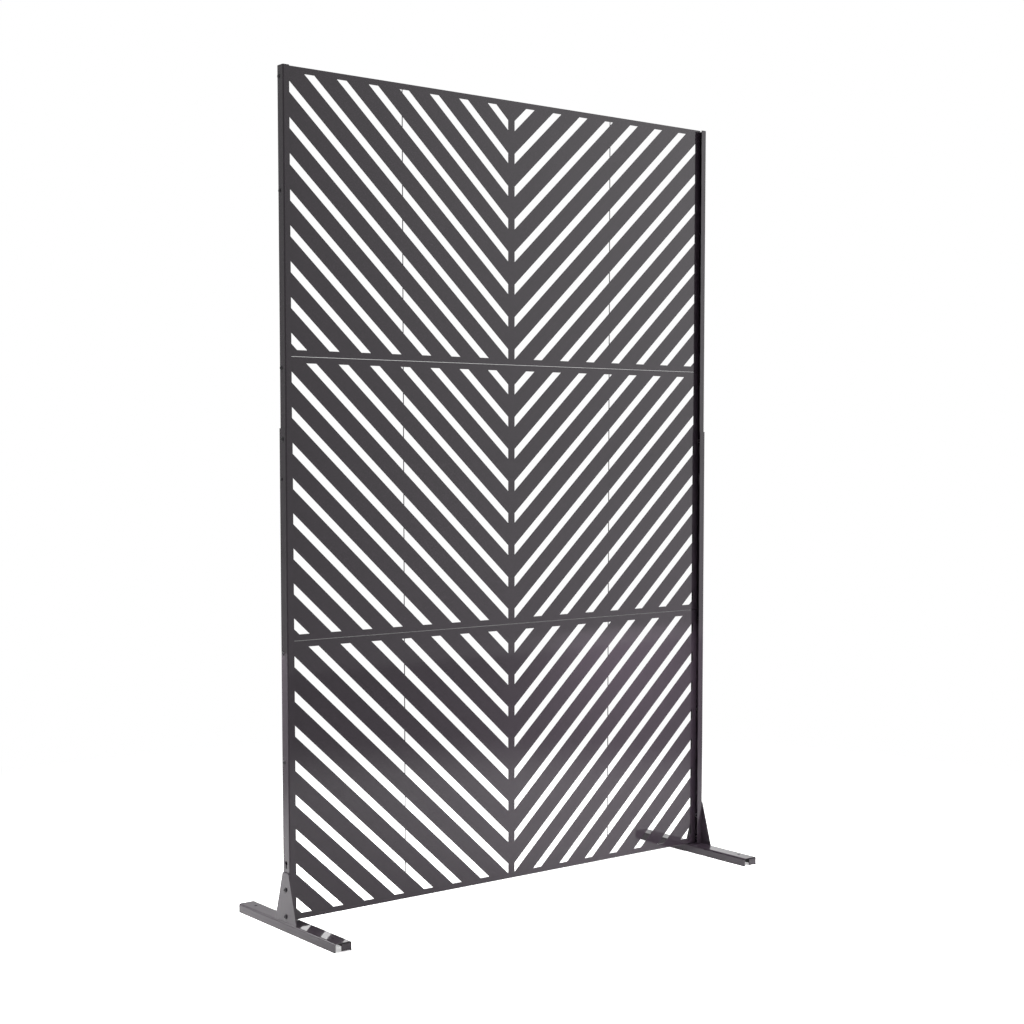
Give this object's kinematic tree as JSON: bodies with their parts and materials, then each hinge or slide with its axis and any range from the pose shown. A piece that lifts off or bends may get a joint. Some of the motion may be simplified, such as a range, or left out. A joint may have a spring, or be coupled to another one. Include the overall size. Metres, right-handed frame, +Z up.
{
  "type": "garden privacy screen",
  "caption": "Free-standing garden privacy screen: slotted sheet-metal panels stacked between channel posts, each post bolted to a gusset on a channel foot",
  "frame": {"origin": "on the ground, midway between the two feet", "axes": "+X along the screen towards its right-hand post as seen from the front, +Y from the front face to the back, +Z up"},
  "size_m": [1.2306, 0.4, 1.824],
  "materials": {
    "powder_coat": "gloss",
    "black_steel": "satin",
    "zinc_steel": "satin",
    "black_plastic": "matte"
  },
  "bodies": {
    "root": {"bottom_panel": "powder_coat", "bottom_panel_left_wire": "powder_coat", "bottom_panel_right_wire": "powder_coat", "middle_panel": "powder_coat", "middle_panel_left_wire": "powder_coat", "middle_panel_right_wire": "powder_coat", "top_panel": "powder_coat", "top_panel_left_wire": "powder_coat", "top_panel_right_wire": "powder_coat", "left_lower_post": "powder_coat", "left_upper_post": "powder_coat", "left_foot": "powder_coat", "left_gusset": "powder_coat", "left_panel_screws": "black_steel", "left_panel_nuts": "zinc_steel", "left_long_spacers": "black_plastic", "left_short_spacers": "black_plastic", "left_gusset_bolts": "black_steel", "left_gusset_nuts": "zinc_steel", "left_joint_screw": "black_steel", "left_joint_nut": "zinc_steel", "right_lower_post": "powder_coat", "right_upper_post": "powder_coat", "right_foot": "powder_coat", "right_gusset": "powder_coat", "right_panel_screws": "black_steel", "right_panel_nuts": "zinc_steel", "right_long_spacers": "black_plastic", "right_short_spacers": "black_plastic", "right_gusset_bolts": "black_steel", "right_gusset_nuts": "zinc_steel", "right_joint_screw": "black_steel", "right_joint_nut": "zinc_steel"}
  },
  "joints": []
}
